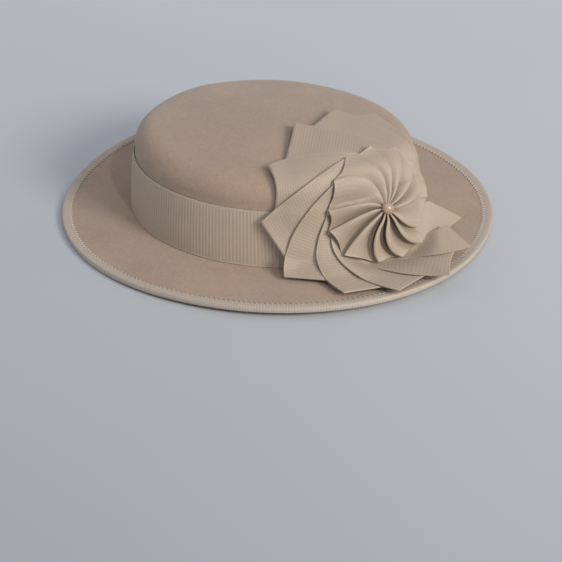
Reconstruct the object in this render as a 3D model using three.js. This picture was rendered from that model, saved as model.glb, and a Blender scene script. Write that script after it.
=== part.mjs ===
// A felt boater hat with a ribbon band, a bound brim edge and a pleated ribbon rosette.
// Units are millimetres. +Z is up, -Y is the wearer's front and -X the wearer's right, where
// the rosette sits. The hat lies brim down on the plane z = 0, with its origin under its middle.
import * as THREE from "three";

// ---------------------------------------------------------------- driving dimensions
const gap = 0.3; // clearance between neighbouring pieces
const turns = 56; // facets round the hat

const felt = { thickness: 2 };
const ribbon = { thickness: 1, width: 40 };

const crown = {
  halfWidth: 84.5, // outside, at the headline, along X
  halfLength: 100.5, // outside, at the headline, along Y
  egg: 0.025, // how much narrower the front is than the back
  height: 62.5, // headline to the middle of the top
  shoulder: 15, // radius between wall and top
  dome: 5, // rise of the top from its edge to its middle
  taper: 4.5, // how far the wall leans in below the shoulder
};

const brim = {
  halfWidth: 133,
  halfLength: 148,
  squareness: 2.08, // power of the oval: 2 is an ellipse
  headline: 6, // top face beside the crown
  edgeThickness: 1.6, // pressed thinner under the binding
  levelEdge: 7, // outermost part that runs level
  collarHeight: 12, // upturned part inside the crown
};

// The rim dips at the front left and the back right, and rises between them.
const wave = {
  height: 3.8, // lowest to highest part of the rim
  lowAngle: -56, // degrees from +X
  restHalfAngle: 18, // half of the arc that lies flat at each dip
};

const band = { height: 38.5, lift: 0.4 };
const binding = { depth: 5.5 }; // how far it reaches in from the rim
const bead = { radius: 4 };

// ---------------------------------------------------------------- small helpers
const radians = THREE.MathUtils.degToRad;
const lerp = THREE.MathUtils.lerp;
const smooth = (x) => THREE.MathUtils.smoothstep(x, 0, 1);

// A closed ring or cap round the hat: place(row, angle) gives the point of each profile row.
function turned(rows, place, segments = turns) {
  const profile = rows.map((row, j) => new THREE.Vector2(1 + j, j));
  const geometry = new THREE.LatheGeometry(profile, segments);
  const position = geometry.attributes.position;
  for (let i = 0; i <= segments; i += 1) {
    const angle = (2 * Math.PI * (i % segments)) / segments;
    rows.forEach((row, j) => {
      const point = place(row, angle);
      position.setXYZ(i * rows.length + j, point.x, point.y, point.z);
    });
  }
  return geometry;
}

// ---------------------------------------------------------------- ovals of the hat
function crownOval(inset, angle) {
  const y = (crown.halfLength - inset) * Math.sin(angle);
  const x = (crown.halfWidth - inset) * Math.cos(angle);
  return new THREE.Vector2(x * (1 + (crown.egg * y) / crown.halfLength), y);
}

function rimOval(inset, angle) {
  const power = 2 / brim.squareness;
  const x = Math.sign(Math.cos(angle)) * Math.abs(Math.cos(angle)) ** power;
  const y = Math.sign(Math.sin(angle)) * Math.abs(Math.sin(angle)) ** power;
  return new THREE.Vector2((brim.halfWidth - inset) * x, (brim.halfLength - inset) * y);
}

// Height of the rim's resting side above the ground.
function rimHeight(angle) {
  const swing = 2 * (angle - radians(wave.lowAngle));
  const flat = Math.cos(2 * radians(wave.restHalfAngle));
  return (wave.height * Math.max(0, flat - Math.cos(swing))) / (flat + 1);
}

// ---------------------------------------------------------------- crown
const shoulderSweep = radians(81); // the arc meets the dome at the dome's own slope
const wallTop = crown.height - crown.dome - crown.shoulder * Math.sin(shoulderSweep);

// Rows from the headline up the wall, round the shoulder and over the dome to the middle.
// skin is how far below the outer face the row lies.
function crownRows(skin) {
  const rows = [{ inset: skin, scale: 1, z: gap }, { inset: crown.taper + skin, scale: 1, z: wallTop }];
  const arcSteps = 5;
  const radius = crown.shoulder - skin;
  for (let i = 1; i <= arcSteps; i += 1) {
    const sweep = (shoulderSweep * i) / arcSteps;
    rows.push({
      inset: crown.taper + skin + radius * (1 - Math.cos(sweep)),
      scale: 1,
      z: wallTop + radius * Math.sin(sweep),
    });
  }
  const edge = rows[rows.length - 1];
  const domeSteps = 4;
  for (let i = 1; i <= domeSteps; i += 1) {
    const scale = 1 - i / domeSteps;
    rows.push({ inset: edge.inset, scale, z: edge.z + crown.dome * (1 - scale * scale) });
  }
  return rows;
}

function crownPoint(row, angle) {
  const flat = crownOval(row.inset, angle).multiplyScalar(row.scale);
  return new THREE.Vector3(flat.x, flat.y, brim.headline + row.z);
}

function makeCrown() {
  const outside = crownRows(0);
  const inside = crownRows(felt.thickness);
  return turned([...inside.reverse(), ...outside], crownPoint);
}

// ---------------------------------------------------------------- brim, binding and band
const bindingHeight = brim.edgeThickness + 2 * (gap + ribbon.thickness);

// Middle of the felt: level beside the crown, level again along the rim, a slope between.
function brimMiddle(fraction, angle) {
  const atCrown = brim.headline - felt.thickness / 2;
  const atRim = rimHeight(angle) + bindingHeight / 2;
  return lerp(atCrown, atRim, smooth(fraction));
}

// fraction runs from 0 at the crown to 1 where the level edge begins.
function brimPoint(row, angle) {
  if (row.collar !== undefined) {
    const flat = crownOval(row.collar, angle);
    return new THREE.Vector3(flat.x, flat.y, brim.headline + row.z);
  }
  const start = crownOval(felt.thickness + gap, angle);
  const end = rimOval(brim.levelEdge, angle);
  const flat = row.rim === undefined ? start.lerp(end, row.fraction) : rimOval(row.rim, angle);
  const fraction = row.rim === undefined ? row.fraction : 1;
  return new THREE.Vector3(flat.x, flat.y, brimMiddle(fraction, angle) + row.z);
}

function makeBrim() {
  const half = felt.thickness / 2;
  const edge = brim.edgeThickness / 2;
  const outer = felt.thickness + gap;
  const inner = outer + felt.thickness;
  const lean = (crown.taper * brim.collarHeight) / wallTop;
  const fractions = [0, 0.25, 0.5, 0.75, 1];
  const feltEdge = ribbon.thickness + gap;
  const over = fractions.map((fraction) => ({ fraction, z: half }));
  const under = fractions.slice(1).map((fraction) => ({ fraction, z: -half }));
  return turned([
    { collar: inner + lean, z: brim.collarHeight },
    { collar: inner, z: -felt.thickness },
    ...under,
    { rim: binding.depth + gap, z: -edge },
    { rim: feltEdge + edge / 2, z: -edge },
    { rim: feltEdge, z: -edge / 2 },
    { rim: feltEdge, z: edge / 2 },
    { rim: feltEdge + edge / 2, z: edge },
    { rim: binding.depth + gap, z: edge },
    ...over.reverse(),
    { collar: outer + lean, z: brim.collarHeight },
    { collar: inner + lean, z: brim.collarHeight },
  ], brimPoint);
}

function makeBinding() {
  const high = bindingHeight;
  const wall = ribbon.thickness;
  const round = wall / 2;
  const rows = [
    { rim: binding.depth, z: 0 },
    { rim: wall, z: 0 },
    { rim: round / 2, z: round / 2 },
    { rim: 0, z: wall },
    { rim: 0, z: high - wall },
    { rim: round / 2, z: high - round / 2 },
    { rim: wall, z: high },
    { rim: binding.depth, z: high },
    { rim: binding.depth, z: high - wall },
    { rim: wall, z: high - wall },
    { rim: wall, z: wall },
    { rim: binding.depth, z: wall },
    { rim: binding.depth, z: 0 },
  ];
  return turned(rows, (row, angle) => {
    const flat = rimOval(row.rim, angle);
    return new THREE.Vector3(flat.x, flat.y, rimHeight(angle) + row.z);
  });
}

const bandLow = band.lift;
const bandHigh = band.lift + band.height;
const bandSkin = gap + ribbon.thickness;

function makeBand() {
  const lean = (z) => (crown.taper * z) / wallTop;
  const rows = [
    { inset: lean(bandLow) - gap, scale: 1, z: bandLow },
    { inset: lean(bandLow) - bandSkin, scale: 1, z: bandLow },
    { inset: lean(bandHigh) - bandSkin, scale: 1, z: bandHigh },
    { inset: lean(bandHigh) - gap, scale: 1, z: bandHigh },
    { inset: lean(bandLow) - gap, scale: 1, z: bandLow },
  ];
  return turned(rows, crownPoint);
}

// ---------------------------------------------------------------- where the rosette sits
// The rosette faces out of the hat along `out`. Its flat coordinates are u to the right and
// v upwards, seen from outside, with the bead's centre at the origin.
const rosette = {
  centre: new THREE.Vector3(-45.5, -98, 44.5),
  azimuth: -40,
  elevation: 32,
  hubDepth: -4.35, // top of the pinwheel under the bead
};
const faceAzimuth = radians(rosette.azimuth);
const faceElevation = radians(rosette.elevation);
const right = new THREE.Vector3(Math.cos(faceAzimuth), Math.sin(faceAzimuth), 0);
const out = new THREE.Vector3(
  Math.sin(faceAzimuth) * Math.cos(faceElevation),
  -Math.cos(faceAzimuth) * Math.cos(faceElevation),
  Math.sin(faceElevation),
);
const upward = new THREE.Vector3().crossVectors(out, right);

function rosettePoint(flat, depth) {
  return rosette.centre.clone()
    .addScaledVector(right, flat.x)
    .addScaledVector(upward, flat.y)
    .addScaledVector(out, depth);
}

function polar(angle, reach) {
  return new THREE.Vector2(reach * Math.cos(radians(angle)), reach * Math.sin(radians(angle)));
}

const insetSearch = { low: -70, high: 80, halvings: 24 };
const depthSearch = { start: 40, stride: 2, deepest: -120, halvings: 8 };

// How far inside the crown's base oval a plan point lies, negative outside.
function crownInset(x, y) {
  const across = x / (1 + (crown.egg * y) / crown.halfLength);
  let { low, high } = insetSearch;
  for (let i = 0; i < insetSearch.halvings; i += 1) {
    const middle = (low + high) / 2;
    const reach = (across / (crown.halfWidth - middle)) ** 2 + (y / (crown.halfLength - middle)) ** 2;
    if (reach > 1) {
      high = middle;
    } else {
      low = middle;
    }
  }
  return low;
}

// Height of the crown's outer face over the headline at an inset.
function crownHeight(inset) {
  const arcStart = crown.taper;
  const domeStart = crown.taper + crown.shoulder * (1 - Math.cos(shoulderSweep));
  if (inset < 0) {
    return -Infinity;
  }
  if (inset < arcStart) {
    return (wallTop * inset) / arcStart;
  }
  if (inset < domeStart) {
    const along = crown.shoulder + arcStart - inset;
    return wallTop + Math.sqrt(crown.shoulder ** 2 - along ** 2);
  }
  const scale = (crown.halfWidth - inset) / (crown.halfWidth - domeStart);
  return crown.height - crown.dome * scale * scale;
}

// True when a point is inside the hat grown by the clearance.
function insideHat(point, clearance) {
  const z = point.z - brim.headline;
  const inset = crownInset(point.x, point.y);
  if (z < crownHeight(inset + clearance) + clearance) {
    return true;
  }
  const bandInset = (crown.taper * z) / wallTop - bandSkin - clearance;
  if (z > bandLow && z < bandHigh + clearance && inset > bandInset) {
    return true;
  }
  const angle = Math.atan2(point.y / brim.halfLength, point.x / brim.halfWidth);
  const rim = rimOval(0, angle).length();
  const reach = Math.hypot(point.x, point.y);
  if (reach > rim) {
    return false;
  }
  const start = crownOval(felt.thickness + gap, angle).length();
  const levelStart = rim - brim.levelEdge;
  const fraction = Math.min(1, Math.max(0, (reach - start) / (levelStart - start)));
  const bound = reach > rim - binding.depth - ribbon.thickness;
  const top = brimMiddle(fraction, angle) + (bound ? bindingHeight : felt.thickness) / 2;
  return point.z < top + clearance;
}

// Depth of the hat's surface under a flat point of the rosette.
function hatDepth(flat, clearance) {
  let outside = depthSearch.start;
  let inside = outside;
  while (!insideHat(rosettePoint(flat, inside), clearance)) {
    outside = inside;
    inside -= depthSearch.stride;
    if (inside < depthSearch.deepest) {
      return inside;
    }
  }
  for (let i = 0; i < depthSearch.halvings; i += 1) {
    const middle = (inside + outside) / 2;
    if (insideHat(rosettePoint(flat, middle), clearance)) {
      inside = middle;
    } else {
      outside = middle;
    }
  }
  return outside;
}

// ---------------------------------------------------------------- inner pinwheel
// One row a pleat, anticlockwise: the angle of its folded tip and how far it reaches.
const innerPleats = [
  { at: 13, reach: 38 },
  { at: 34, reach: 40 },
  { at: 57, reach: 42 },
  { at: 82, reach: 42 },
  { at: 109, reach: 40 },
  { at: 138, reach: 38 },
  { at: 168, reach: 37 },
  { at: 188, reach: 38 },
  { at: 213, reach: 39 },
  { at: 249, reach: 35 },
  { at: 282, reach: 33 },
  { at: 309, reach: 35 },
  { at: 340, reach: 32 },
];
const pinwheel = {
  reach: 42, // of the longest pleat
  thickness: 1.6,
  stack: 6.8, // clear of the petals lying on the hat
  fold: 3.5, // how far a folded edge stands over the hollow beside it
  fall: 8, // how much lower the tips lie than the middle
  foldStart: 1 / 3, // share of the way out by which the fold stands full height
  swirl: 12, // degrees by which the folds bow on their way out
  scallop: 0.06, // share by which the rim draws in between two tips
};

// The pinwheel's resting surface: a shallow cone that gives way to the hat and petals under it.
function pinwheelDepth(flat) {
  const share = flat.length() / pinwheel.reach;
  const cone = rosette.hubDepth - pinwheel.fall * smooth(share);
  const rest = hatDepth(flat, pinwheel.stack) + pinwheel.thickness;
  return Math.max(cone, rest);
}

// ---------------------------------------------------------------- outer petals
// Each petal is a flattened loop of ribbon whose leading edge lies over the petal before it.
// The leading edge runs from the root under the pinwheel through the waist to the corner, and
// the folded tip runs on from the corner until it meets the next leading edge, a share `meet`
// of the way out. Angles are degrees anticlockwise about the bead, reaches millimetres from
// it, and lift is how far the tip stands off what it lies on.
const outerPetals = [
  { rootAt: 290, root: 35, waistAt: 322, waist: 47, cornerAt: 343, corner: 70, meet: 0.65, lift: 0 },
  { rootAt: 318, root: 36, waistAt: 352, waist: 47, cornerAt: 16, corner: 60, meet: 0.6, lift: 0 },
  { rootAt: 10, root: 32, waistAt: 38, waist: 53, cornerAt: 57, corner: 71, meet: 0.85, lift: 0 },
  { rootAt: 25, root: 40, waistAt: 55, waist: 54, cornerAt: 80, corner: 72, meet: 0.85, lift: 0 },
  { rootAt: 55, root: 41, waistAt: 85, waist: 52, cornerAt: 108, corner: 71, meet: 0.8, lift: 0 },
  { rootAt: 95, root: 41, waistAt: 124, waist: 55, cornerAt: 141, corner: 74, meet: 0.83, lift: 0 },
  { rootAt: 109, root: 40, waistAt: 148, waist: 53, cornerAt: 170, corner: 74, meet: 0.84, lift: 0 },
  { rootAt: 130, root: 33, waistAt: 168, waist: 47, cornerAt: 199, corner: 73, meet: 0.82, lift: 0 },
  { rootAt: 167, root: 33, waistAt: 203, waist: 48, cornerAt: 223, corner: 63, meet: 0.88, lift: 0 },
  { rootAt: 189, root: 35, waistAt: 227, waist: 43, cornerAt: 252, corner: 52, meet: 0.85, lift: 1 },
  { rootAt: 214, root: 38, waistAt: 258, waist: 38, cornerAt: 291, corner: 52, meet: 0.82, lift: 3 },
  { rootAt: 243, root: 35, waistAt: 297, waist: 40, cornerAt: 322, corner: 61, meet: 0.85, lift: 3 },
];
const petal = {
  thickness: 2.4, // measured along `out`
  clearance: 1.8, // over the hat, so that flat facets stay clear of its round shoulder
  step: 2.6, // how far the leading edge stands over the petal before it
  stepStart: 0.25, // share of the way out by which that step has opened
  stepEase: 0.5, // share of it that is gone at the tip
  hubReach: 3, // where the petals start beside the bead
  hubDepth: -6.25, // their top there, against the pinwheel's underside
  underPinwheel: 3, // kept clear below the pinwheel
  hubFlare: 15, // reach at which that clearance is complete
  besidePinwheel: 7, // and this far past its rim
  rootShare: 0.3, // share of a petal's length that lies inside its root
};

// Flat point of a leading edge, from the hub (0) through the root and waist to the corner (1).
function leadingEdge(row, along) {
  const root = polar(row.rootAt, row.root);
  if (along < petal.rootShare) {
    return polar(row.rootAt, petal.hubReach).lerp(root, along / petal.rootShare);
  }
  const corner = polar(row.cornerAt, row.corner);
  const bow = polar(row.waistAt, row.waist).multiplyScalar(2);
  bow.addScaledVector(root, -0.5).addScaledVector(corner, -0.5);
  const share = (along - petal.rootShare) / (1 - petal.rootShare);
  return new THREE.QuadraticBezierCurve(root, bow, corner).getPoint(share);
}

// Flat point of a petal: phase runs from its leading edge (0) to where the next one covers it (1).
function petalFlat(row, next, along, phase) {
  const covered = lerp(petal.rootShare, 1, row.meet);
  return leadingEdge(row, along).lerp(leadingEdge(next, along * covered), phase);
}

function petalDepth(row, next, along, phase) {
  const flat = petalFlat(row, next, along, phase);
  const rest = hatDepth(flat, petal.clearance) + petal.thickness;
  const tip = petalFlat(row, next, 1, phase);
  const tipRest = hatDepth(tip, petal.clearance) + petal.thickness + row.lift;
  const bridge = lerp(petal.hubDepth, tipRest, along * along);
  const opened = smooth(along / petal.stepStart) * (1 - petal.stepEase * along ** 4);
  const step = petal.step * (1 - phase) * opened;
  const depth = Math.max(rest, bridge) + step;
  const spare = lerp(gap, petal.underPinwheel, smooth(flat.length() / petal.hubFlare));
  const roof = pinwheelDepth(flat) - pinwheel.thickness - spare;
  return flat.length() < pinwheel.reach + petal.besidePinwheel ? Math.min(depth, roof) : depth;
}

function makeOuter() {
  const phases = [0, 0.25, 0.5, 0.75, 0.95];
  const rings = [0, 0.08, 0.15, 0.23, 0.3, 0.4, 0.5, 0.6, 0.7, 0.8, 0.9, 1];
  const segments = outerPetals.length * phases.length;
  const rows = [
    { ring: 0, side: 0, hub: true },
    ...rings.map((ring) => ({ ring, side: 0 })),
    ...rings.slice().reverse().map((ring) => ({ ring, side: 1 })),
    { ring: 0, side: 1, hub: true },
  ];
  const place = (row, turn) => {
    const depthUnder = row.side === 1 ? 0 : petal.thickness;
    if (row.hub) {
      return rosettePoint(new THREE.Vector2(0, 0), petal.hubDepth - depthUnder);
    }
    const index = Math.round((turn / (2 * Math.PI)) * segments);
    const here = Math.floor(index / phases.length);
    const pleat = outerPetals[here];
    const next = outerPetals[(here + 1) % outerPetals.length];
    const phase = phases[index % phases.length];
    const depth = petalDepth(pleat, next, row.ring, phase);
    return rosettePoint(petalFlat(pleat, next, row.ring, phase), depth - depthUnder);
  };
  return turned(rows, place, segments);
}

function makePinwheel() {
  const phases = [0, 0.15, 0.5, 0.85];
  const segments = innerPleats.length * phases.length;
  const rings = [0, 0.08, 0.25, 0.45, 0.65, 0.85, 1];
  const rows = [
    ...rings.map((ring) => ({ ring, side: 0 })),
    ...rings.slice().reverse().map((ring) => ({ ring, side: 1 })),
  ];

  const place = (row, turn) => {
    const index = Math.round((turn / (2 * Math.PI)) * segments);
    const pleat = innerPleats[Math.floor(index / phases.length)];
    const next = innerPleats[(Math.floor(index / phases.length) + 1) % innerPleats.length];
    const phase = phases[index % phases.length];
    const span = (next.at - pleat.at + 360) % 360;
    const bow = pinwheel.swirl * Math.sin(Math.PI * row.ring);
    const reach = lerp(pleat.reach, next.reach, phase) * (1 - pinwheel.scallop * Math.sin(Math.PI * phase));
    const flat = polar(pleat.at + span * phase - bow, reach * row.ring);
    const ridge = 0.5 + 0.5 * Math.cos(2 * Math.PI * phase);
    const fold = pinwheel.fold * ridge * smooth(Math.min(1, row.ring / pinwheel.foldStart));
    const top = pinwheelDepth(flat) + fold;
    return rosettePoint(flat, row.side === 1 ? top : top - pinwheel.thickness);
  };
  return turned(rows, place, segments);
}

// ---------------------------------------------------------------- the hat
const feltMaterial = new THREE.MeshStandardMaterial({ color: 0xa8958a, roughness: 0.95, metalness: 0 });
const ribbonMaterial = new THREE.MeshStandardMaterial({ color: 0xb0a08c, roughness: 0.6, metalness: 0 });
const beadMaterial = new THREE.MeshStandardMaterial({ color: 0xae9b8b, roughness: 0.2, metalness: 0 });

function piece(name, geometry, material) {
  const mesh = new THREE.Mesh(geometry, material);
  mesh.name = name;
  return mesh;
}

const beadMesh = piece("centre_bead", new THREE.SphereGeometry(bead.radius, 16, 10), beadMaterial);
beadMesh.position.copy(rosette.centre);

const hat = new THREE.Group();
hat.add(
  piece("crown", makeCrown(), feltMaterial),
  piece("brim", makeBrim(), feltMaterial),
  piece("hat_band", makeBand(), ribbonMaterial),
  piece("edge_binding", makeBinding(), ribbonMaterial),
  piece("rosette_outer", makeOuter(), ribbonMaterial),
  piece("rosette_inner", makePinwheel(), ribbonMaterial),
  beadMesh,
);

export default hat;
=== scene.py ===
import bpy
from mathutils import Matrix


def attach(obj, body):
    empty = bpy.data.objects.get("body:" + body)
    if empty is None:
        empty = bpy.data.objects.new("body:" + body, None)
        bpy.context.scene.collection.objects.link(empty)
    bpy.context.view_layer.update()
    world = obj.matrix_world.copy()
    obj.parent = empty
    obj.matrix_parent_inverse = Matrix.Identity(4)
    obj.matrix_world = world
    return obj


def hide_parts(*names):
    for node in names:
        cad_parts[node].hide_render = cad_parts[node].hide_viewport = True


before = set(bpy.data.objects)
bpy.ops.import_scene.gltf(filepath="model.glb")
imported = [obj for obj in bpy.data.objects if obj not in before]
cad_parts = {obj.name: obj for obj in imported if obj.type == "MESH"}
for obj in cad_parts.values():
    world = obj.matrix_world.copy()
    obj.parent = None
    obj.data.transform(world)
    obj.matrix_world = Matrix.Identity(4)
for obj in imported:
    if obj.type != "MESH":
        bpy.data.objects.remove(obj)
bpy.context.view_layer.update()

import math

import bpy
import numpy as np
from mathutils import Matrix, Vector

# Felt boater hat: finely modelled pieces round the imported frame. Lengths are in millimetres
# until a mesh is made. +Z is up, -Y the wearer's front and -X the wearer's right.
MM = 0.001
BODY = "root"

# ---------------------------------------------------------------- sizes shared with the CAD
GAP = 0.3
FELT = 2.0
CROWN = dict(half_width=84.5, half_length=100.5, egg=0.025, height=62.5, shoulder=15.0, dome=5.0, taper=4.5)
BRIM = dict(
    half_width=133.0, half_length=148.0, squareness=2.08, headline=6.0, edge=1.6, level=7.0, collar=12.0
)
WAVE = dict(height=3.8, low=math.radians(-56), rest=math.radians(18))
BAND = dict(low=0.4, high=38.9, thickness=1.0)
BINDING = dict(depth=5.5, thickness=1.0)
BINDING_HEIGHT = BRIM["edge"] + 2 * (GAP + BINDING["thickness"])
SHOULDER_SWEEP = math.radians(81)
WALL_TOP = CROWN["height"] - CROWN["dome"] - CROWN["shoulder"] * math.sin(SHOULDER_SWEEP)


def lerp(a, b, t):
    return a + (b - a) * t


def smooth(t, low=0.0, high=1.0):
    x = np.clip((t - low) / (high - low), 0, 1)
    return x * x * (3 - 2 * x)


def smooth_max(a, b, width):
    blend = np.maximum(width - np.abs(a - b), 0) / width
    return np.maximum(a, b) + blend * blend * width / 4


def crown_oval(inset, angle):
    y = (CROWN["half_length"] - inset) * np.sin(angle)
    x = (CROWN["half_width"] - inset) * np.cos(angle)
    return x * (1 + CROWN["egg"] * y / CROWN["half_length"]), y


def rim_oval(inset, angle):
    power = 2 / BRIM["squareness"]
    x = np.sign(np.cos(angle)) * np.abs(np.cos(angle)) ** power
    y = np.sign(np.sin(angle)) * np.abs(np.sin(angle)) ** power
    return (BRIM["half_width"] - inset) * x, (BRIM["half_length"] - inset) * y


def rim_height(angle):
    flat = math.cos(2 * WAVE["rest"])
    swing = np.cos(2 * (angle - WAVE["low"]))
    return WAVE["height"] * np.maximum(0, flat - swing) / (flat + 1)


def brim_middle(fraction, angle):
    at_crown = BRIM["headline"] - FELT / 2
    return lerp(at_crown, rim_height(angle) + BINDING_HEIGHT / 2, smooth(fraction))


def even_angles(oval, count):
    """Angles at equal distances along an oval, so that ribs and stitches keep their spacing."""
    fine = np.linspace(0, 2 * math.pi, 4001)
    x, y = oval(0.0, fine)
    run = np.concatenate([[0], np.cumsum(np.hypot(np.diff(x), np.diff(y)))])
    return np.interp(np.arange(count) * run[-1] / count, run, fine), run[-1]


# ---------------------------------------------------------------- meshes from grids
def finish_mesh(name, vertices, faces, layers=None, sharp=40):
    mesh = bpy.data.meshes.new(name)
    mesh.from_pydata((np.asarray(vertices) * MM).tolist(), [], faces)
    mesh.validate()
    for key, values in (layers or {}).items():
        attribute = mesh.attributes.new(key, "FLOAT", "POINT")
        attribute.data.foreach_set("value", np.asarray(values, dtype=np.float32).ravel())
    mesh.polygons.foreach_set("use_smooth", [True] * len(mesh.polygons))
    mesh.set_sharp_from_angle(angle=math.radians(sharp))
    piece = bpy.data.objects.new(name, mesh)
    bpy.context.scene.collection.objects.link(piece)
    return piece


def grid_faces(rows, columns, around=False, closed=False, start=0):
    """Quads of a grid; around joins the last column to the first, closed the last row to the first."""
    faces = []
    for i in range(rows if closed else rows - 1):
        for j in range(columns if around else columns - 1):
            a, b = i * columns + j, i * columns + (j + 1) % columns
            below = ((i + 1) % rows) * columns
            faces.append([start + a, start + b, start + below + (j + 1) % columns, start + below + j])
    return faces


def ring_piece(name, rings, closed=True, layers=None, sharp=40):
    """A solid of revolution-like rings: closed sections, or open ones with a pole at each end."""
    rings = np.asarray(rings)
    rows, columns = rings.shape[:2]
    vertices = rings.reshape(-1, 3)
    faces = grid_faces(rows, columns, around=True, closed=closed)
    if not closed:
        first, last = rings[0].mean(axis=0), rings[-1].mean(axis=0)
        vertices = np.vstack([vertices, first, last])
        pole, top = rows * columns, rows * columns + 1
        for j in range(columns):
            k = (j + 1) % columns
            faces.append([pole, k, j])
            faces.append([top, (rows - 1) * columns + j, (rows - 1) * columns + k])
        if layers:
            layers = {key: np.append(np.asarray(v).ravel(), [0, 0]) for key, v in layers.items()}
    return finish_mesh(name, vertices, faces, layers, sharp)


def grid_normals(points):
    along = np.gradient(points, axis=0)
    across = np.gradient(points, axis=1)
    normal = np.cross(across, along)
    return normal / np.maximum(np.linalg.norm(normal, axis=2, keepdims=True), 1e-9)


def cloth_grid(points, thickness, start=0):
    """Two faces and four rims of a sheet of cloth, its vertices and faces."""
    rows, columns = points.shape[:2]
    normal = grid_normals(points) * (thickness / 2)
    vertices = np.vstack([(points + normal).reshape(-1, 3), (points - normal).reshape(-1, 3)])
    count = rows * columns
    top = grid_faces(rows, columns, start=start)
    under = [[count + v for v in reversed(face)] for face in top]
    rim = [(0, j) for j in range(columns)] + [(i, columns - 1) for i in range(1, rows)]
    rim += [(rows - 1, j) for j in range(columns - 2, -1, -1)] + [(i, 0) for i in range(rows - 2, 0, -1)]
    ids = [start + i * columns + j for i, j in rim]
    sides = [[b, a, a + count, b + count] for a, b in zip(ids, ids[1:] + ids[:1])]
    return vertices, top + under + sides


# ---------------------------------------------------------------- materials
def material(name, color, roughness, sheen=0.0, coat=0.0):
    made = bpy.data.materials.new(name)
    made.use_nodes = True
    shader = made.node_tree.nodes["Principled BSDF"]
    shader.inputs["Base Color"].default_value = (*color, 1)
    shader.inputs["Roughness"].default_value = roughness
    shader.inputs["Sheen Weight"].default_value = sheen
    shader.inputs["Sheen Roughness"].default_value = 0.5
    shader.inputs["Coat Weight"].default_value = coat
    return made, made.node_tree, shader


def add_node(tree, kind, **inputs):
    node = tree.nodes.new(kind)
    for key, value in inputs.items():
        node.inputs[key.replace("_", " ")].default_value = value
    return node


def noise_at(tree, scale, detail, stretch=None):
    """Noise in the object's own metres."""
    place = tree.nodes.new("ShaderNodeTexCoord").outputs["Object"]
    if stretch:
        mapping = add_node(tree, "ShaderNodeMapping", Scale=stretch)
        tree.links.new(place, mapping.inputs["Vector"])
        place = mapping.outputs["Vector"]
    noise = add_node(tree, "ShaderNodeTexNoise", Scale=scale, Detail=detail, Roughness=0.6)
    tree.links.new(place, noise.inputs["Vector"])
    return noise.outputs["Fac"]


def tinted(tree, factor, dark, light, low=0.3, high=0.7):
    ramp = tree.nodes.new("ShaderNodeValToRGB")
    ramp.color_ramp.elements[0].position = low
    ramp.color_ramp.elements[1].position = high
    ramp.color_ramp.elements[0].color = (*dark, 1)
    ramp.color_ramp.elements[1].color = (*light, 1)
    tree.links.new(factor, ramp.inputs["Fac"])
    return ramp.outputs["Color"]


def mixed(tree, kind, factor, a, b):
    mix = tree.nodes.new("ShaderNodeMix")
    mix.data_type = "RGBA"
    mix.blend_type = kind
    mix.inputs["Factor"].default_value = factor
    tree.links.new(a, mix.inputs["A"])
    tree.links.new(b, mix.inputs["B"])
    return mix.outputs["Result"]


def bumped(tree, shader, height, strength, distance):
    bump = add_node(tree, "ShaderNodeBump", Strength=strength, Distance=distance)
    tree.links.new(height, bump.inputs["Height"])
    tree.links.new(bump.outputs["Normal"], shader.inputs["Normal"])


def scaled(color, by):
    return tuple(channel * by for channel in color)


def felt_material(name, color):
    made, tree, shader = material(name, color, 0.95, sheen=0.25)
    cloud = tinted(tree, noise_at(tree, 22, 3), scaled(color, 0.93), scaled(color, 1.06))
    fibre = tinted(tree, noise_at(tree, 420, 6), (0.86, 0.86, 0.86), (1.0, 1.0, 1.0))
    tree.links.new(mixed(tree, "MULTIPLY", 1.0, cloud, fibre), shader.inputs["Base Color"])
    bumped(tree, shader, noise_at(tree, 520, 8), 0.55, 0.0006)
    return made


def ribbon_material(name, color):
    """Grosgrain. The attribute read here is 1 on the crests of the ribs and 0 between them: low values paint
    shade in the grooves, and the crests get a slightly lighter painted tone. The same attribute also carries
    painted shade in the pinwheel's hollows and on the binding's top side.
    """
    made, tree, shader = material(name, color, 0.62, sheen=0.12)
    rib_and_shade = tree.nodes.new("ShaderNodeAttribute")
    rib_and_shade.attribute_name = "rib_and_shade"
    # Painted shade: the groove colour darkens the ribbon between its ribs, and the crests are painted
    # slightly lighter.
    groove_shade = tuple(channel * by for channel, by in zip(color, (0.84, 0.80, 0.76)))
    ribbing_and_shade = tinted(tree, rib_and_shade.outputs["Fac"], groove_shade, scaled(color, 1.04), 0.0, 1.0)
    thread = tinted(tree, noise_at(tree, 900, 4), (0.9, 0.9, 0.9), (1.0, 1.0, 1.0))
    cloud = tinted(tree, noise_at(tree, 30, 3), (0.95, 0.95, 0.95), (1.0, 1.0, 1.0))
    whole = mixed(tree, "MULTIPLY", 1.0, mixed(tree, "MULTIPLY", 1.0, ribbing_and_shade, thread), cloud)
    tree.links.new(whole, shader.inputs["Base Color"])
    bumped(tree, shader, noise_at(tree, 1500, 4), 0.3, 0.0003)
    return made


FELT_COLOR = (0.378, 0.264, 0.186)
RIBBON_COLOR = (0.420, 0.327, 0.244)
# Painted light: a lighter, greyer copy of the ribbon colour, so the binding shows as the lit strip round the
# rim.
BINDING_COLOR = (0.53, 0.45, 0.37)
# Painted light: the ribbon colour made lighter for the band.
BAND_COLOR = (0.490, 0.390, 0.295)
BEAD_COLOR = (0.40, 0.27, 0.19)

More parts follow.
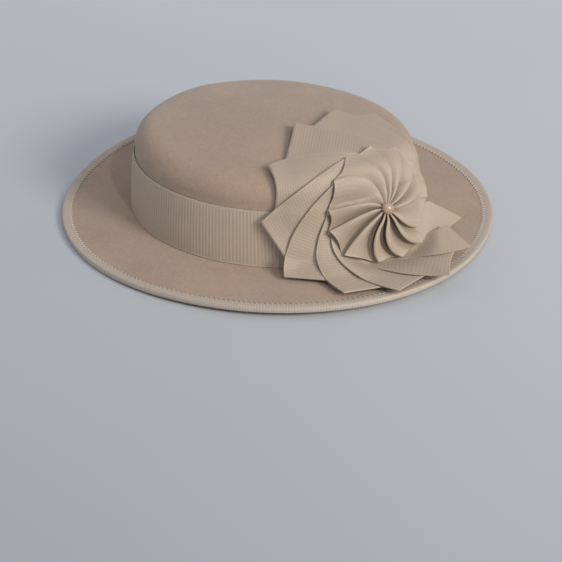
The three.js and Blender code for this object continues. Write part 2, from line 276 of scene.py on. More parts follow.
felt_look = felt_material("felt", FELT_COLOR)
ribbon_look = ribbon_material("grosgrain", RIBBON_COLOR)
binding_look = ribbon_material("binding_grosgrain", BINDING_COLOR)
band_look = ribbon_material("band_grosgrain", BAND_COLOR)
bead_look, bead_tree, bead_shader = material("pearl", BEAD_COLOR, 0.16, coat=0.8)
pearl = tinted(bead_tree, noise_at(bead_tree, 300, 2), scaled(BEAD_COLOR, 0.85), scaled(BEAD_COLOR, 1.15))
bead_tree.links.new(pearl, bead_shader.inputs["Base Color"])
bumped(bead_tree, bead_shader, noise_at(bead_tree, 900, 2), 0.08, 0.0003)
thread_look, thread_tree, thread_shader = material("thread", (0.55, 0.48, 0.39), 0.7, sheen=0.1)
twist = tinted(thread_tree, noise_at(thread_tree, 1800, 2), (0.42, 0.36, 0.29), (0.62, 0.55, 0.46))
thread_tree.links.new(twist, thread_shader.inputs["Base Color"])


def dress(piece, look, slot, *nodes):
    piece.data.materials.append(look)
    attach(piece, BODY)
    if nodes:
        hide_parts(*nodes)
    return piece


# ---------------------------------------------------------------- felt crown and brim
AROUND = 288


def unevenness(x, y, z, size):
    """Slow dents and swellings of hand-blocked felt."""
    wave = np.sin(x * 0.045 + 1.3) * np.cos(y * 0.038 - 0.4) + 0.6 * np.sin(x * 0.083 - y * 0.061 + z * 0.05)
    return size * wave


def crown_rows(skin):
    rows = [(lerp(0, CROWN["taper"], t) + skin, 1.0, lerp(GAP, WALL_TOP, t)) for t in np.linspace(0, 1, 14)]
    radius = CROWN["shoulder"] - skin
    for sweep in np.linspace(0, SHOULDER_SWEEP, 15)[1:]:
        inset = CROWN["taper"] + skin + radius * (1 - math.cos(sweep))
        rows.append((inset, 1.0, WALL_TOP + radius * math.sin(sweep)))
    inset, _, z = rows[-1]
    for scale in np.linspace(1, 0.02, 24)[1:]:
        rows.append((inset, scale, z + CROWN["dome"] * (1 - scale * scale)))
    return rows


def make_crown():
    angle = np.arange(AROUND) * 2 * math.pi / AROUND
    rings = []
    for inset, scale, z in [*reversed(crown_rows(FELT)), *crown_rows(0.0)]:
        x, y = crown_oval(inset, angle)
        x, y = x * scale, y * scale
        height = np.full_like(x, BRIM["headline"] + z)
        above = smooth(z, 40, 56)
        rings.append(np.stack([x, y, height + above * unevenness(x, y, height, 0.45)], axis=1))
    return ring_piece("crown_felt", rings, closed=False)


def make_brim():
    angle = np.arange(AROUND) * 2 * math.pi / AROUND
    half, edge = FELT / 2, BRIM["edge"] / 2
    outer = FELT + GAP
    inner = outer + FELT
    lean = CROWN["taper"] * BRIM["collar"] / WALL_TOP
    felt_edge = BINDING["thickness"] + GAP
    fractions = np.linspace(0, 1, 16)

    def collar(inset, z):
        x, y = crown_oval(inset, angle)
        return np.stack([x, y, np.full_like(x, BRIM["headline"] + z)], axis=1)

    def level(fraction, z):
        start, end = crown_oval(outer, angle), rim_oval(BRIM["level"], angle)
        x, y = lerp(start[0], end[0], fraction), lerp(start[1], end[1], fraction)
        swell = math.sin(math.pi * fraction) * unevenness(x, y, 0, 0.5)
        return np.stack([x, y, brim_middle(fraction, angle) + z + swell], axis=1)

    def rim(inset, z):
        x, y = rim_oval(inset, angle)
        return np.stack([x, y, brim_middle(1.0, angle) + z], axis=1)

    rings = [collar(inner + lean, BRIM["collar"]), collar(inner, 0.0), collar(inner - 0.6, -FELT + 0.4)]
    rings += [level(f, -half) for f in fractions[1:]]
    rings += [rim(BINDING["depth"] + GAP, -edge), rim(felt_edge + edge, -edge), rim(felt_edge, -edge / 2)]
    rings += [rim(felt_edge, edge / 2), rim(felt_edge + edge, edge), rim(BINDING["depth"] + GAP, edge)]
    rings += [level(f, half) for f in fractions[:0:-1]]
    rings += [level(0.0, half), collar(outer + 0.3, 2.0), collar(outer + lean, BRIM["collar"])]
    return ring_piece("brim_felt", rings, closed=True)


for felt_piece, felt_node in ((make_crown(), "crown"), (make_brim(), "brim")):
    dress(felt_piece, felt_look, "felt", felt_node)


# ---------------------------------------------------------------- ribbed band and binding
def ribs(run, pitch):
    """0 between ribs and 1 on the crests of the ribs, at a distance along the ribbon."""
    return 0.5 - 0.5 * np.cos(2 * math.pi * run / pitch)


RIB_PITCH = 2.4
SAMPLES = 6
SELVEDGE = 0.9


def make_band():
    _, length = even_angles(crown_oval, 10)
    count = int(round(length / RIB_PITCH))
    angle, _ = even_angles(crown_oval, count * SAMPLES)
    rib_and_shade = ribs(np.arange(count * SAMPLES), SAMPLES)
    low, high, wall = BAND["low"], BAND["high"], BAND["thickness"]
    margin = np.array([0, 0.4, SELVEDGE, 1.5])
    heights = [*(low + margin), 10, 20, 30, *(high - margin[::-1])]
    rings, shade = [], []

    def ring(z, skin, depth, crest):
        inset = CROWN["taper"] * z / WALL_TOP - skin - depth * rib_and_shade
        x, y = crown_oval(inset, angle)
        rings.append(np.stack([x, y, np.full_like(x, BRIM["headline"] + z)], axis=1))
        shade.append(crest)

    for z in heights:
        inside = low + SELVEDGE < z < high - SELVEDGE
        puff = 0.35 * math.sin(math.pi * (z - low) / (high - low)) ** 2
        ring(z, GAP + wall - 0.15 + puff, 0.16 if inside else 0.0, rib_and_shade if inside else np.ones_like(rib_and_shade))
    ring(high, GAP + 0.2, 0.0, np.ones_like(rib_and_shade))
    ring(low, GAP + 0.2, 0.0, np.ones_like(rib_and_shade))
    piece = ring_piece("band_ribbon", np.asarray(rings), layers={"rib_and_shade": np.asarray(shade)})
    return piece, length


def make_binding():
    pitch = 1.8
    _, length = even_angles(rim_oval, 10)
    count = int(round(length / pitch))
    angle, _ = even_angles(rim_oval, count * 4)
    rib_and_shade = ribs(np.arange(count * 4), 4)
    high, wall, depth = BINDING_HEIGHT, BINDING["thickness"], BINDING["depth"]
    felt_top = high / 2 + FELT / 2
    # inset from the rim, height, and how far the ribs stand out there: outwards (-1) and upwards (1); rows
    # facing up also get painted shade
    section = [
        (depth, 0.0, 0.2, 0), (wall + 0.6, 0.0, 0, -1), (wall * 0.4, wall * 0.25, -0.7, -0.7),
        (0.0, wall + 0.3, -1, 0), (0.0, high / 2, -1, 0), (0.0, high - wall - 0.3, -1, 0),
        (wall * 0.4, high - wall * 0.25, -0.7, 0.7), (wall + 0.6, high, 0, 1),
        (depth * 0.6, high - 0.2, 0, 1), (depth - 0.8, high - 0.5, 0, 1),
        (depth + 0.7, felt_top + 0.35, 0, 0.6), (depth + 1.0, felt_top + 0.15, 0, 0),
        (depth + 0.7, felt_top + 0.05, 0, 0), (depth - 0.6, high - wall - 0.05, 0, 0),
        (wall, high - wall, 0, 0), (wall, wall, 0, 0), (depth, wall, 0, 0),
    ]
    rings, shade = [], []
    for inset, z, inward, upward in section:
        x, y = rim_oval(inset + 0.12 * inward * rib_and_shade + (0.12 if inward < 0 else 0), angle)
        lift = rim_height(angle) + z + 0.12 * upward * (rib_and_shade - (upward > 0)) * (upward > 0)
        rings.append(np.stack([x, y, lift], axis=1))
        # Painted shade: rows facing up take low values, so the binding's top side is darker than its outer
        # face.
        shade.append(0.1 + 0.25 * rib_and_shade if upward > 0.65 else rib_and_shade)
    piece = ring_piece("binding_ribbon", np.asarray(rings), layers={"rib_and_shade": np.asarray(shade)})
    return piece, length


band_piece, band_length = make_band()
dress(band_piece, band_look, "ribbon", "hat_band")
binding_piece, binding_length = make_binding()
dress(binding_piece, binding_look, "ribbon", "edge_binding")


def tube(points, radius, sides=6):
    """Vertices and faces of a thin closed tube along a few points."""
    points = np.asarray(points)
    direction = np.gradient(points, axis=0)
    direction /= np.linalg.norm(direction, axis=1, keepdims=True)
    side = np.cross(direction, [0.0, 0.0, 1.0])
    side /= np.linalg.norm(side, axis=1, keepdims=True)
    over = np.cross(side, direction)
    turn = np.arange(sides) * 2 * math.pi / sides
    reach = radius * np.ones(len(points))
    reach[[0, -1]] *= 0.5
    ring = [
        points[i] + reach[i] * (np.cos(turn)[:, None] * side[i] + np.sin(turn)[:, None] * over[i])
        for i in range(len(points))
    ]
    vertices = np.vstack(ring)
    faces = grid_faces(len(points), sides, around=True)
    faces += [list(range(sides))[::-1], [(len(points) - 1) * sides + k for k in range(sides)]]
    return vertices, [list(reversed(face)) for face in faces]


def make_stitches():
    """Slanting hand stitches that hold the binding's inner edge on the brim's top."""
    angle, length = even_angles(rim_oval, 10)
    count = int(round(length / 3.4))
    angle, _ = even_angles(rim_oval, count)
    vertices, faces, start = [], [], 0
    wobble = np.sin(np.arange(count) * 12.9898) * 43758.5453
    wobble = wobble - np.floor(wobble)
    for place, luck in zip(angle, wobble):
        slant = (1.5 + 0.5 * luck) / BRIM["half_length"]
        path = []
        for share, lift in ((0, 0.0), (0.25, 0.4), (0.75, 0.45), (1, 0.05)):
            at = place + slant * share
            inset = lerp(BINDING["depth"] + 2.0, BINDING["depth"] - 0.6, share)
            x, y = rim_oval(inset, at)
            base = lerp(brim_middle(1.0, at) + FELT / 2 - 0.1, rim_height(at) + BINDING_HEIGHT - 0.6, share)
            path.append([float(x), float(y), float(base + lift)])
        more, quads = tube(path, 0.28)
        vertices.append(more)
        faces += [[start + v for v in face] for face in quads]
        start += len(more)
    return finish_mesh("binding_stitches", np.vstack(vertices), faces, sharp=80)


dress(make_stitches(), thread_look, "ribbon")

# ---------------------------------------------------------------- the rosette's own coordinates
BEAD = np.array([-45.5, -98.0, 44.5])
FACE_AZIMUTH, FACE_ELEVATION = math.radians(-40), math.radians(32)
RIGHT = np.array([math.cos(FACE_AZIMUTH), math.sin(FACE_AZIMUTH), 0.0])
OUT = np.array([
    math.sin(FACE_AZIMUTH) * math.cos(FACE_ELEVATION),
    -math.cos(FACE_AZIMUTH) * math.cos(FACE_ELEVATION),
    math.sin(FACE_ELEVATION),
])
UPWARD = np.cross(OUT, RIGHT)


def rosette_point(flat, depth):
    return BEAD + flat[..., :1] * RIGHT + flat[..., 1:] * UPWARD + np.asarray(depth)[..., None] * OUT


def polar(degrees, reach):
    turn = np.radians(degrees)
    return np.stack([reach * np.cos(turn), reach * np.sin(turn)], axis=-1)


INSET_SEARCH = dict(low=-70.0, high=80.0, halvings=18)
DEPTH_SEARCH = dict(start=40.0, stride=2, strides=80, halvings=8)
BAND_RELIEF = 0.4  # ribs and puff over the band's plain thickness


def crown_inset(x, y):
    across = x / (1 + CROWN["egg"] * y / CROWN["half_length"])
    low, high = np.full_like(x, INSET_SEARCH["low"]), np.full_like(x, INSET_SEARCH["high"])
    for _ in range(INSET_SEARCH["halvings"]):
        middle = (low + high) / 2
        out = (across / (CROWN["half_width"] - middle)) ** 2 + (y / (CROWN["half_length"] - middle)) ** 2 > 1
        high = np.where(out, middle, high)
        low = np.where(out, low, middle)
    return low


def crown_height(inset):
    start = CROWN["taper"]
    dome_start = start + CROWN["shoulder"] * (1 - math.cos(SHOULDER_SWEEP))
    along = np.clip(CROWN["shoulder"] + start - inset, 0, CROWN["shoulder"])
    wall = WALL_TOP * inset / start
    arc = WALL_TOP + np.sqrt(CROWN["shoulder"] ** 2 - along ** 2)
    scale = (CROWN["half_width"] - inset) / (CROWN["half_width"] - dome_start)
    dome = CROWN["height"] - CROWN["dome"] * scale * scale
    height = np.where(inset < start, wall, np.where(inset < dome_start, arc, dome))
    return np.where(inset < 0, -1e6, height)


def inside_hat(point, clearance):
    x, y, z = point[..., 0], point[..., 1], point[..., 2] - BRIM["headline"]
    inset = crown_inset(x, y)
    inside = z < crown_height(inset + clearance) + clearance
    skin = GAP + BAND["thickness"] + BAND_RELIEF
    band_inset = CROWN["taper"] * z / WALL_TOP - skin - clearance
    inside |= (z > BAND["low"]) & (z < BAND["high"] + clearance) & (inset > band_inset)
    angle = np.arctan2(y / BRIM["half_length"], x / BRIM["half_width"])
    rim = np.hypot(*rim_oval(0.0, angle))
    reach = np.hypot(x, y)
    start = np.hypot(*crown_oval(FELT + GAP, angle))
    fraction = np.clip((reach - start) / (rim - BRIM["level"] - start), 0, 1)
    bound = reach > rim - BINDING["depth"] - 1
    top = brim_middle(fraction, angle) + np.where(bound, BINDING_HEIGHT, FELT) / 2
    return inside | ((reach <= rim) & (point[..., 2] < top + clearance))


def hat_depth(flat, clearance):
    """Depth along OUT of the hat's surface, grown by a clearance, under flat points."""
    clearance = np.broadcast_to(clearance, flat.shape[:-1])
    outside = np.full(flat.shape[:-1], DEPTH_SEARCH["start"])
    inside = outside.copy()
    found = np.zeros(flat.shape[:-1], bool)
    for _ in range(DEPTH_SEARCH["strides"]):
        inside = np.where(found, inside, inside - DEPTH_SEARCH["stride"])
        hit = inside_hat(rosette_point(flat, inside), clearance)
        outside = np.where(found | hit, outside, inside)
        found |= hit
    for _ in range(DEPTH_SEARCH["halvings"]):
        middle = (inside + outside) / 2
        hit = inside_hat(rosette_point(flat, middle), clearance)
        inside = np.where(hit, middle, inside)
        outside = np.where(hit, outside, middle)
    return outside


# ---------------------------------------------------------------- outer petals
# Each petal is a loop of 40 mm ribbon laid flat: its leading selvedge runs from the root past
# the waist to the corner, and its folded tip from the corner towards `end`. Angles are degrees
# anticlockwise about the bead and reaches are millimetres; depth is where the tip would hang
# if nothing lay under it. From the second on, each lies over the one before it.
PETAL_KEYS = ("name", "root_at", "root", "waist_at", "waist", "corner_at", "corner", "end_at", "end")
# The column after width sets how far a petal's ribs stand out and how much shade is painted between them.
PETAL_KEYS += ("heel_at", "heel", "width", "ribbing_and_shade", "curl")
PETALS = [dict(zip(PETAL_KEYS, row)) for row in (
    ("front_low", -70, 30, -32, 48, -17, 67.5, -4, 36, 0, 4, 36, 0.35, 0.3),
    ("front", -25, 28, 3, 36, 20, 40.5, 45, 39, 42, 4, 32, 0.25, 0.2),
    ("top_right", 0, 36, 37, 48, 61, 69.5, 78, 66, 74, 4, 33, 0.15, 0.2),
    ("top_first", 25, 40, 55, 54, 81, 72, 98, 64.5, 103, 4, 38, 0.35, 0.2),
    ("top_second", 55, 41, 85, 52, 108, 71.5, 133, 64.5, 133, 4, 40, 0.55, 0.2),
    ("left_first", 90, 37, 124, 55, 142, 74.5, 165, 66.5, 165, 4, 40, 0.6, 0.2),
    ("left_second", 109, 40, 148, 53, 170, 75, 190, 65.5, 191, 4, 40, 0.5, 0.3),
    ("left_third", 130, 35, 171, 52, 199, 73.5, 216, 57, 216, 4, 40, 0.5, 0.9),
    ("low_first", 158, 34, 198, 50, 222, 63, 248, 49, 248, 4, 40, 0.6, 1.0),
    ("low_second", 172, 33, 214, 44, 251, 52.5, 284, 46.5, 285, 4, 40, 0.5, 0.7),
    ("low_third", 205, 34, 252, 38.5, 289, 52, 315, 51.5, 316, 4, 36, 0.5, 0.5),
    ("low_last", 235, 33, 294, 38.5, 321, 59.5, 332, 48.5, 282, 27, 24, 0.35, 0.5),
)]
RIBBON_WALL = 0.42
LOOP = 1.25  # between a loop's two layers
STEP = 2.0  # one loop over the next
PETAL_PITCH = 1.9
SELVEDGE_STEPS = (0.0, 0.4, 0.9, 1.5)  # rows of points that shape a petal's plain margin
FEWEST_RIBS, ROWS_PER_RIB, FOLD_ROWS, BACK_ROWS = 12, 4, 6, 26
BACK_START = 0.25  # share of the way out where a loop's lower layer begins
FEWEST_RELAXED = 8
PETAL_RELIEF = 0.2
ROOT_DEPTH, ROOT_REACH = -18.5, 32.0
PINWHEEL = dict(top=-4.35, fall=8.0, reach=42.0, wall=0.42, stack=5.0, blend=5.0, relief=0.12, contrast=0.45)
# How petals lie, in millimetres: layers stacked under a tip and nearer the middle, the space kept
# over the hat, and the drop of each layer under the pinwheel, which ends between the two rim reaches.
LAY = dict(layers=1.25, more_layers=1.4, stack_reach=66, stack_run=22, bed=0.3, spring=1.25, blend=4.0)
LAY.update(hat_gap=0.15, under=1.8, loop_drop=1.2, layer_drop=1.1, lowest=0.5, rim_from=35, rim_to=42)
LAY.update(relaxed_gap=0.4)
CURL = dict(rise=0.8, rise_run=3.0, hollow=1.3, hollow_at=9.5, hollow_run=4.0)

# Where the tips hang, by angle: (degrees, reach, depth). It goes on past the last petal's
# corner, because that petal's far side sinks towards the brim.
HANG = [(-17, 70, -36), (16, 60, -40), (57, 71, -56), (80, 72, -68), (108, 71, -60), (141, 74, -35)]
HANG += [(170, 74, -33), (199, 73, -33), (223, 63, -2), (252, 52, 13), (291, 52, 17), (322, 61, 1)]
HANG += [(338, 57, -18), (356, 56, -34)]


def pinwheel_depth(flat):
    """Depth of the pinwheel's hollows: a low cone that is lifted where the hat lies close under it."""
    share = np.hypot(flat[..., 0], flat[..., 1]) / PINWHEEL["reach"]
    cone = PINWHEEL["top"] - PINWHEEL["fall"] * smooth(share)
    return smooth_max(cone, hat_depth(flat, PINWHEEL["stack"]), PINWHEEL["blend"])


def leading_edge(petal, share):
    root = polar(petal["root_at"], petal["root"])
    corner = polar(petal["corner_at"], petal["corner"])
    bow = 2 * polar(petal["waist_at"], petal["waist"]) - root / 2 - corner / 2
    share = np.asarray(share)[..., None]
    return (1 - share) ** 2 * root + 2 * share * (1 - share) * bow + share ** 2 * corner


def unwrapped(flat, middle):
    """Angle in degrees of flat points, within half a turn of the middle."""
    angle = np.degrees(np.arctan2(flat[..., 1], flat[..., 0]))
    return middle + (angle - middle + 180) % 360 - 180


def edge_angles(index, reach):
    """Angle at which a petal's leading edge has this reach."""
    if index >= len(PETALS):
        return edge_angles(len(PETALS) - 1, reach) + 30.0 * (index - len(PETALS) + 1)
    petal = PETALS[index]
    path = leading_edge(petal, np.linspace(0, 1, 60))
    far = np.maximum.accumulate(np.hypot(path[:, 0], path[:, 1]))
    angle = np.degrees(np.unwrap(np.arctan2(path[:, 1], path[:, 0])))
    angle += petal["corner_at"] - angle[-1]
    return np.interp(reach, far + np.arange(60) * 1e-6, angle)


def behind_edge(index, angle, reach):
    """How many leading edges lie between a point of this petal and its own leading edge."""
    edges = [edge_angles(index + k, reach) for k in range(5)]
    passed = np.zeros_like(reach)
    for here, ahead in zip(edges, edges[1:]):
        passed += np.clip((angle - here) / np.maximum(ahead - here, 6.0), 0, 1)
    return passed


def hanging_depth(angle, reach):
    degrees, reaches, depths = (np.array(column, float) for column in zip(*HANG))
    far = np.interp(angle, degrees, reaches)
    tip = np.interp(angle, degrees, depths)
    share = (reach - ROOT_REACH) / (far - ROOT_REACH)
    return lerp(ROOT_DEPTH, tip, np.clip(share, 0, 1.3))


def petal_place(index, flat, drop):
    """Puts flat points of a petal on what it lies on; drop is how far below its top layer."""
    petal = PETALS[index]
    reach = np.hypot(flat[..., 0], flat[..., 1])
    angle = unwrapped(flat, petal["corner_at"])
    nearer = (LAY["stack_reach"] - reach) / LAY["stack_run"]
    layers = LAY["layers"] + np.clip(nearer, 0, LAY["more_layers"])
    behind = behind_edge(index, angle, reach)
    lift = STEP * np.maximum(layers - behind, 0) + LOOP + LAY["bed"] - drop
    hung = hanging_depth(angle, reach) + LAY["spring"] * lift
    depth = smooth_max(hat_depth(flat, np.maximum(lift, LAY["hat_gap"])), hung, LAY["blend"])
    roof = pinwheel_depth(flat) - LAY["under"] - LAY["loop_drop"] * drop - LAY["layer_drop"] * behind
    beneath = np.maximum(np.minimum(depth, roof), hat_depth(flat, LAY["lowest"]))
    depth = lerp(beneath, depth, smooth(reach, LAY["rim_from"], LAY["rim_to"]))
    if len(flat) > FEWEST_RELAXED:
        depth = np.maximum(relaxed(depth, len(flat) // 3, 1), hat_depth(flat, LAY["relaxed_gap"]))
    return rosette_point(flat, depth)


def relaxed(depth, along, sideways):
    """Evens out a grid of depths, as cloth bridges small steps in what it lies on."""
    for axis, passes in ((0, along), (1, sideways)):
        depth = np.moveaxis(depth, axis, 0)
        for _ in range(passes):
            padded = np.concatenate([2 * depth[:1] - depth[1:2], depth, 2 * depth[-1:] - depth[-2:-1]])
            depth = (padded[:-2] + 2 * padded[1:-1] + padded[2:]) / 4
        depth = np.moveaxis(depth, 0, axis)
    return depth


def curled(amount, from_fold):
    """A soft hollow across a petal and the rise of its folded tip, by distance from the fold."""
    tip = CURL["rise"] * np.exp(-((from_fold / CURL["rise_run"]) ** 2))
    hollow = CURL["hollow"] * np.exp(-(((from_fold - CURL["hollow_at"]) / CURL["hollow_run"]) ** 2))
    return amount * (tip - hollow)[:, None, None] * OUT


def petal_grid(index):
    petal = PETALS[index]
    corner, end = polar(petal["corner_at"], petal["corner"]), polar(petal["end_at"], petal["end"])
    ends = petal_place(index, np.stack([corner, end]), 0.0)
    width = petal["width"]
    tip = corner + (end - corner) * (width / np.linalg.norm(ends[1] - ends[0]))
    hub = polar(petal["heel_at"], petal["heel"])
    margin = np.array(SELVEDGE_STEPS)
    across = np.concatenate([margin, np.linspace(3, width - 3, 13), width - margin[::-1]]) / width
    leading = np.linalg.norm(leading_edge(petal, 1.0) - leading_edge(petal, 0.0))
    mean = 0.5 * (leading + np.linalg.norm(tip - hub))
    count = max(FEWEST_RIBS, int(round(1.15 * mean / PETAL_PITCH)))
    shares = np.linspace(0, 1, count * ROWS_PER_RIB + 1)

    def flat_at(share):
        lead, trail = leading_edge(petal, share), lerp(hub, tip, np.asarray(share)[..., None])
        return lerp(lead[:, None, :], trail[:, None, :], across[None, :, None])

    top = flat_at(shares)
    forward = top[-1] - top[-3]
    forward = forward / np.linalg.norm(forward, axis=1, keepdims=True)
    layers = [petal_place(index, top, 0.0)]
    for sweep in np.linspace(0, math.pi, FOLD_ROWS + 2)[1:-1]:
        flat = (top[-1] + forward * (LOOP * 0.6) * math.sin(sweep))[None]
        layers.append(petal_place(index, flat, LOOP / 2 * (1 - math.cos(sweep))))
    back = np.linspace(1, BACK_START, BACK_ROWS)
    layers.append(petal_place(index, flat_at(back), LOOP))
    points = np.vstack(layers)
    points = points + curled(petal["curl"], mean * (1 - np.concatenate([shares, np.ones(FOLD_ROWS), back])))
    run = np.concatenate([shares * count, np.full(FOLD_ROWS, count), back * count])
    rib_and_shade = np.repeat(ribs(run, 1.0)[:, None], len(across), axis=1)
    rib_and_shade[len(shares):len(shares) + FOLD_ROWS] = 1.0
    flush = np.minimum(across, 1 - across) * width < SELVEDGE
    rib_and_shade[:, flush] = 1.0
    return points, 1 - petal["ribbing_and_shade"] * (1 - rib_and_shade), len(shares)


def make_petal(index):
    points, rib_and_shade, rows = petal_grid(index)
    length = np.linalg.norm(np.diff(points, axis=0), axis=2).sum(axis=0).mean()
    relief = np.zeros(rib_and_shade.shape)
    relief[:rows] = PETAL_RELIEF * (rib_and_shade[:rows] - 1)
    points = points + grid_normals(points) * relief[..., None]
    vertices, faces = cloth_grid(points, RIBBON_WALL)
    shade = np.concatenate([rib_and_shade.ravel(), rib_and_shade.ravel()])
    return finish_mesh("petal_" + PETALS[index]["name"], vertices, faces, {"rib_and_shade": shade}, sharp=50), length


for number in range(len(PETALS)):
    petal_piece, loop_length = make_petal(number)
    dress(petal_piece, ribbon_look, "ribbon", "rosette_outer")

# ---------------------------------------------------------------- pleated pinwheel
# One row a pleat, anticlockwise: the angle of its crest beside the bead, halfway out and at its
# tip, how far the tip reaches, and how high the crest stands over the hollow before it.
PLEAT_KEYS = ("base", "middle", "tip", "reach", "rise")
PLEATS = [dict(zip(PLEAT_KEYS, row)) for row in (
    (-8, 0, 9, 30, 5.0),
    (22, 25, 37, 37.5, 4.5),
    (40, 48, 60, 42, 3.2),
    (50, 65, 84, 41.5, 3.0),
    (66, 84, 111, 40.5, 3.0),
    (98, 111, 140, 39.5, 3.0),
    (136, 159, 168, 38, 5.5),
    (168, 181, 187, 39, 6.5),
    (199, 206, 213, 39.5, 7.0),
    (233, 229, 249, 33.5, 7.5),
    (260, 251, 279, 32.5, 7.5),
    (288, 287, 308, 34, 7.0),
    (318, 311, 322, 26, 5.0),
)]


UNDERCUT, CREST = 5, 6  # points across a pleat before its crest and round it
FACE = UNDERCUT + CREST
CREST_RADIUS = 0.55
RIBS_EACH = 8
TALLEST = 7.5


def crest_angle(pleat, share):
    """Angle of a crest at a share of its reach, bowed on its way out."""
    base, middle, tip = pleat["base"], pleat["middle"], pleat["tip"]
    ends = base * (1 - share) * (1 - 2 * share) + tip * share * (2 * share - 1)
    return ends + 4 * middle * share * (1 - share)


def pleat_row(pleat, after, share, face, turn):
    """Flat points and heights across a pleat: undercut side, rounded crest, then the long face."""
    crest, ahead = crest_angle(pleat, share), crest_angle(after, share)
    phase = np.concatenate([np.linspace(0.5, 0.05, UNDERCUT), np.zeros(len(turn)), face])
    between = np.sin(math.pi * np.clip(phase, 0, 1))
    reach = share * lerp(pleat["reach"], after["reach"], np.clip(phase, 0, 1)) * (1 - 0.07 * share * between)
    opened = smooth(share, 0.0, 0.3)
    rise = pleat["rise"] * (0.35 + 0.65 * opened) * (1 - 0.35 * smooth(share, 0.6, 1.0))
    radius = CREST_RADIUS * (0.4 + 0.6 * opened)
    high = rise * (1 - smooth(phase, 0.04, 0.9))
    high[:UNDERCUT] -= 2 * radius
    high[UNDERCUT:FACE] = rise - radius + radius * np.cos(turn)
    bulge = np.zeros_like(phase)
    bulge[UNDERCUT:FACE] = -radius * np.sin(turn)
    angle = crest + (ahead - crest) * phase + np.degrees(bulge / max(share * pleat["reach"], 2.0))
    return polar(angle, reach), high


def make_pinwheel():
    radial = np.array([0.06, 0.1, 0.14, 0.18, *np.linspace(0.23, 0.96, 20), 0.98, 1.0])
    face = np.linspace(0, 1.12, RIBS_EACH * 4 + 1)
    turn = np.linspace(math.pi, 0, CREST + 1)[:-1]
    vertices, faces, shade, start = [], [], [], 0
    for k, pleat in enumerate(PLEATS):
        after = dict(PLEATS[(k + 1) % len(PLEATS)])
        if k + 1 == len(PLEATS):
            for key in ("base", "middle", "tip"):
                after[key] += 360
        flat, high = zip(*(pleat_row(pleat, after, share, face, turn) for share in radial))
        flat = np.stack(flat)
        points = rosette_point(flat, pinwheel_depth(flat) + np.stack(high))
        rib_and_shade = np.concatenate([np.ones(FACE), ribs(np.arange(len(face)) / 4, 1.0)])
        rib_and_shade = np.repeat(rib_and_shade[None], len(radial), axis=0)
        rib_and_shade[-2:] = 1.0
        # Painted shade between the ribs, scaled by the pinwheel's contrast and fading out towards the bead.
        fade = smooth(radial, 0.35, 0.8)[:, None]
        rib_and_shade = 1 - PINWHEEL["contrast"] * (1 - rib_and_shade) * fade
        points = points + grid_normals(points) * (PINWHEEL["relief"] * (rib_and_shade - 1))[..., None]
        # Painted shade: each pleat's face darkens into the hollow under the next crest, more so for taller
        # pleats.
        hollow = smooth(face, 0.25, 0.7) * (1 - smooth(face, 1.0, 1.1))
        hollow_shade_amount = smooth(radial, 0.1, 0.35)[:, None] * pleat["rise"] / TALLEST
        rib_and_shade[:, FACE:] *= 1 - 0.9 * hollow * hollow_shade_amount
        more, quads = cloth_grid(points, PINWHEEL["wall"])
        vertices.append(more)
        faces += [[start + v for v in quad] for quad in quads]
        shade += [rib_and_shade.ravel(), rib_and_shade.ravel()]
        start += len(more)
    layers = {"rib_and_shade": np.concatenate(shade)}
    return finish_mesh("pinwheel_ribbon", np.vstack(vertices), faces, layers, sharp=50)


pinwheel_piece = make_pinwheel()
dress(pinwheel_piece, ribbon_look, "ribbon", "rosette_inner")


def make_bead():
    radius, hole = 4.0, 0.12
    sweep = np.linspace(math.asin(hole / radius), math.pi - math.asin(hole / radius), 28)
    profile = [(radius * math.sin(a), radius * math.cos(a) * 0.97) for a in sweep]
    profile = [(hole * 0.7, radius * 0.55), (hole * 0.8, radius * 0.93), *profile]
    rings = []
    turn = np.arange(48) * 2 * math.pi / 48
    for reach, depth in profile:
        flat = np.stack([reach * np.cos(turn), reach * np.sin(turn)], axis=1)
        rings.append(rosette_point(flat, np.full(48, depth)))
    return ring_piece("pearl_bead", rings[::-1], closed=False, sharp=60)


dress(make_bead(), bead_look, "bead", "centre_bead")

# ---------------------------------------------------------------- floor, light and camera
floor_mesh = bpy.data.meshes.new("floor")
floor_mesh.from_pydata([(-4, -4, 0), (4, -4, 0), (4, 4, 0), (-4, 4, 0)], [], [(0, 1, 2, 3)])
floor = bpy.data.objects.new("floor", floor_mesh)
bpy.context.scene.collection.objects.link(floor)
floor_look, floor_tree, floor_shader = material("pale_floor", (0.45, 0.47, 0.5), 0.9)
# Painted light: the floor is darker near the camera and lighter further away.
place = floor_tree.nodes.new("ShaderNodeTexCoord")
along = floor_tree.nodes.new("ShaderNodeVectorMath")
along.operation = "DOT_PRODUCT"
along.inputs[1].default_value = (0.91, 0.41, 0.0)
floor_tree.links.new(place.outputs["Object"], along.inputs[0])
spread = floor_tree.nodes.new("ShaderNodeMath")
spread.operation = "MULTIPLY_ADD"
spread.inputs[1].default_value = 0.8
spread.inputs[2].default_value = 0.35
floor_tree.links.new(along.outputs["Value"], spread.inputs[0])
painted_falloff = tinted(floor_tree, spread.outputs["Value"], (0.33, 0.337, 0.352), (0.80, 0.82, 0.845), 0.0, 1.0)
grain = tinted(floor_tree, noise_at(floor_tree, 3, 2), (0.97, 0.97, 0.97), (1.0, 1.0, 1.0))
floor_tree.links.new(mixed(floor_tree, "MULTIPLY", 1.0, painted_falloff, grain), floor_shader.inputs["Base Color"])
floor_mesh.materials.append(floor_look)

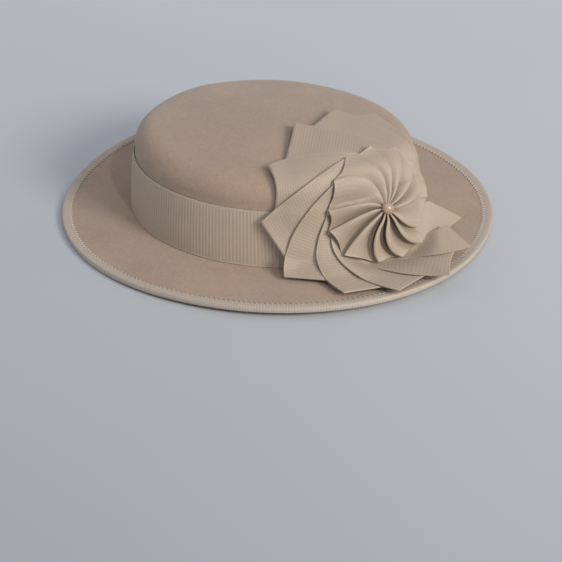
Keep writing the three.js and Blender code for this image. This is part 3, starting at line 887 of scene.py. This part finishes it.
world = bpy.data.worlds.new("studio")
bpy.context.scene.world = world
world.use_nodes = True
world.node_tree.nodes["Background"].inputs["Color"].default_value = (0.86, 0.9, 1.0, 1)
world.node_tree.nodes["Background"].inputs["Strength"].default_value = 0.5


def soft_light(name, place, target, size, power, color=(1, 1, 1)):
    data = bpy.data.lights.new(name, "AREA")
    data.shape = "DISK"
    data.size = size
    data.energy = power
    data.color = color
    lamp = bpy.data.objects.new(name, data)
    lamp.location = place
    lamp.rotation_mode = "QUATERNION"
    lamp.rotation_quaternion = (Vector(target) - Vector(place)).to_track_quat("-Z", "Y")
    bpy.context.scene.collection.objects.link(lamp)
    return lamp


soft_light("key", (-0.55, -1.5, 0.92), (0, 0, 0.03), 0.6, 23.5, (1.0, 0.98, 0.94))
soft_light("fill", (-0.6, 1.2, 1.2), (0, 0, 0.03), 1.2, 2, (0.9, 0.95, 1.0))
soft_light("glint", (-0.62, -0.62, 0.86), (-0.045, -0.1, 0.05), 0.04, 2.2)

VIEW_PLACE, LENS = (-0.8848, -0.4005, 0.5586), 104.4
VIEW_AZIMUTH, VIEW_ELEVATION, VIEW_ROLL = math.radians(-65.77), math.radians(32.46), math.radians(-1.7)
back = Vector((
    math.sin(VIEW_AZIMUTH) * math.cos(VIEW_ELEVATION),
    -math.cos(VIEW_AZIMUTH) * math.cos(VIEW_ELEVATION),
    math.sin(VIEW_ELEVATION),
))
level = Vector((0, 0, 1)).cross(back).normalized()
steep = back.cross(level)
across = level * math.cos(VIEW_ROLL) + steep * math.sin(VIEW_ROLL)
over = -level * math.sin(VIEW_ROLL) + steep * math.cos(VIEW_ROLL)
camera_data = bpy.data.cameras.new("camera")
camera_data.lens = LENS
camera_data.sensor_width = 36.0
camera_data.clip_start = 0.05
camera = bpy.data.objects.new("camera", camera_data)
camera.matrix_world = Matrix((
    (across.x, over.x, back.x, VIEW_PLACE[0]),
    (across.y, over.y, back.y, VIEW_PLACE[1]),
    (across.z, over.z, back.z, VIEW_PLACE[2]),
    (0, 0, 0, 1),
))
bpy.context.scene.collection.objects.link(camera)
bpy.context.scene.camera = camera
bpy.context.scene.view_settings.view_transform = "Standard"
